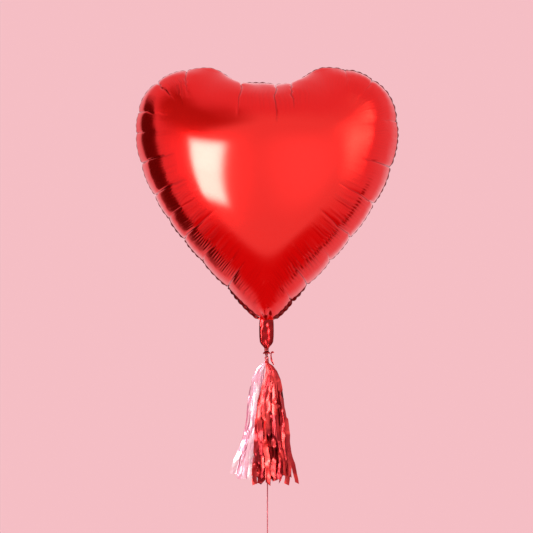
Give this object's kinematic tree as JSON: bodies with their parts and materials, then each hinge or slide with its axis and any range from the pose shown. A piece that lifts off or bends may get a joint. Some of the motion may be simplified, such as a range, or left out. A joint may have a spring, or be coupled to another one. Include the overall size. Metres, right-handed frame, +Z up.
{
  "type": "heart-shaped foil balloon",
  "caption": "Inflated heart-shaped foil balloon with a tied neck, a red and a pink fringe tassel, and a hanging ribbon.",
  "frame": {"origin": "the tie around the neck, on the balloon's centre line, where the ribbon holds the balloon", "axes": "+Z up from the tie through the heart's tip to the cleft, -Y out of the front panel, +X towards the heart's right lobe seen from the front"},
  "size_m": [0.3998, 0.19, 0.7589],
  "materials": {
    "red_foil": "mirror-like metallised film",
    "red_seam": "metallised film, welded",
    "clear_film": "clear film",
    "red_string": "matt",
    "red_film": "satin metallic film",
    "pink_film": "pearly metallic film",
    "ribbon_film": "narrow curling ribbon"
  },
  "bodies": {
    "balloon": {"front_panel": "red_foil", "back_panel": "red_foil", "edge_seal": "red_seam", "valve_front_film": "clear_film", "valve_back_film": "clear_film"},
    "neck": {"neck_front_ply": "red_foil", "neck_back_ply": "red_foil", "neck_gather": "red_foil", "tie_wraps": "red_string", "tie_knot": "red_string"},
    "hanger_knot": {"hanger_knot": "red_string"},
    "tail": {"hanger_loop": "red_string", "ribbon": "ribbon_film", "ribbon_end_knot": "ribbon_film", "ribbon_end_loop": "ribbon_film"},
    "red_tassel": {"red_tassel_loop": "red_film", "red_tassel_band": "red_film", "red_fringe_outer": "red_film", "red_fringe_inner": "red_film", "red_loose_strand": "red_film"},
    "pink_tassel": {"pink_tassel_loop": "pink_film", "pink_tassel_band": "pink_film", "pink_fringe_outer": "pink_film", "pink_fringe_inner": "pink_film"}
  },
  "joints": [
    {"name": "neck_bend", "type": "hinge", "parent": "balloon", "child": "neck", "pos_m": [0, 0, 0.0456], "axis": [1, 0, 0], "range_deg": [-30, 30]},
    {"name": "tail_twist", "type": "hinge", "parent": "neck", "child": "hanger_knot", "pos_m": [0, 0, -0.007], "axis": [0, 0, 1], "range_deg": [-180, 180]},
    {"name": "tail_sway", "type": "hinge", "parent": "hanger_knot", "child": "tail", "pos_m": [0, 0, -0.007], "axis": [0, 1, 0], "range_deg": [-35, 35]},
    {"name": "red_tassel_swing", "type": "hinge", "parent": "tail", "child": "red_tassel", "pos_m": [0, 0, -0.0117], "axis": [0, 1, 0], "range_deg": [-20, 20]},
    {"name": "pink_tassel_swing", "type": "hinge", "parent": "tail", "child": "pink_tassel", "pos_m": [0, 0, -0.0117], "axis": [0, 1, 0], "range_deg": [-20, 20]}
  ]
}
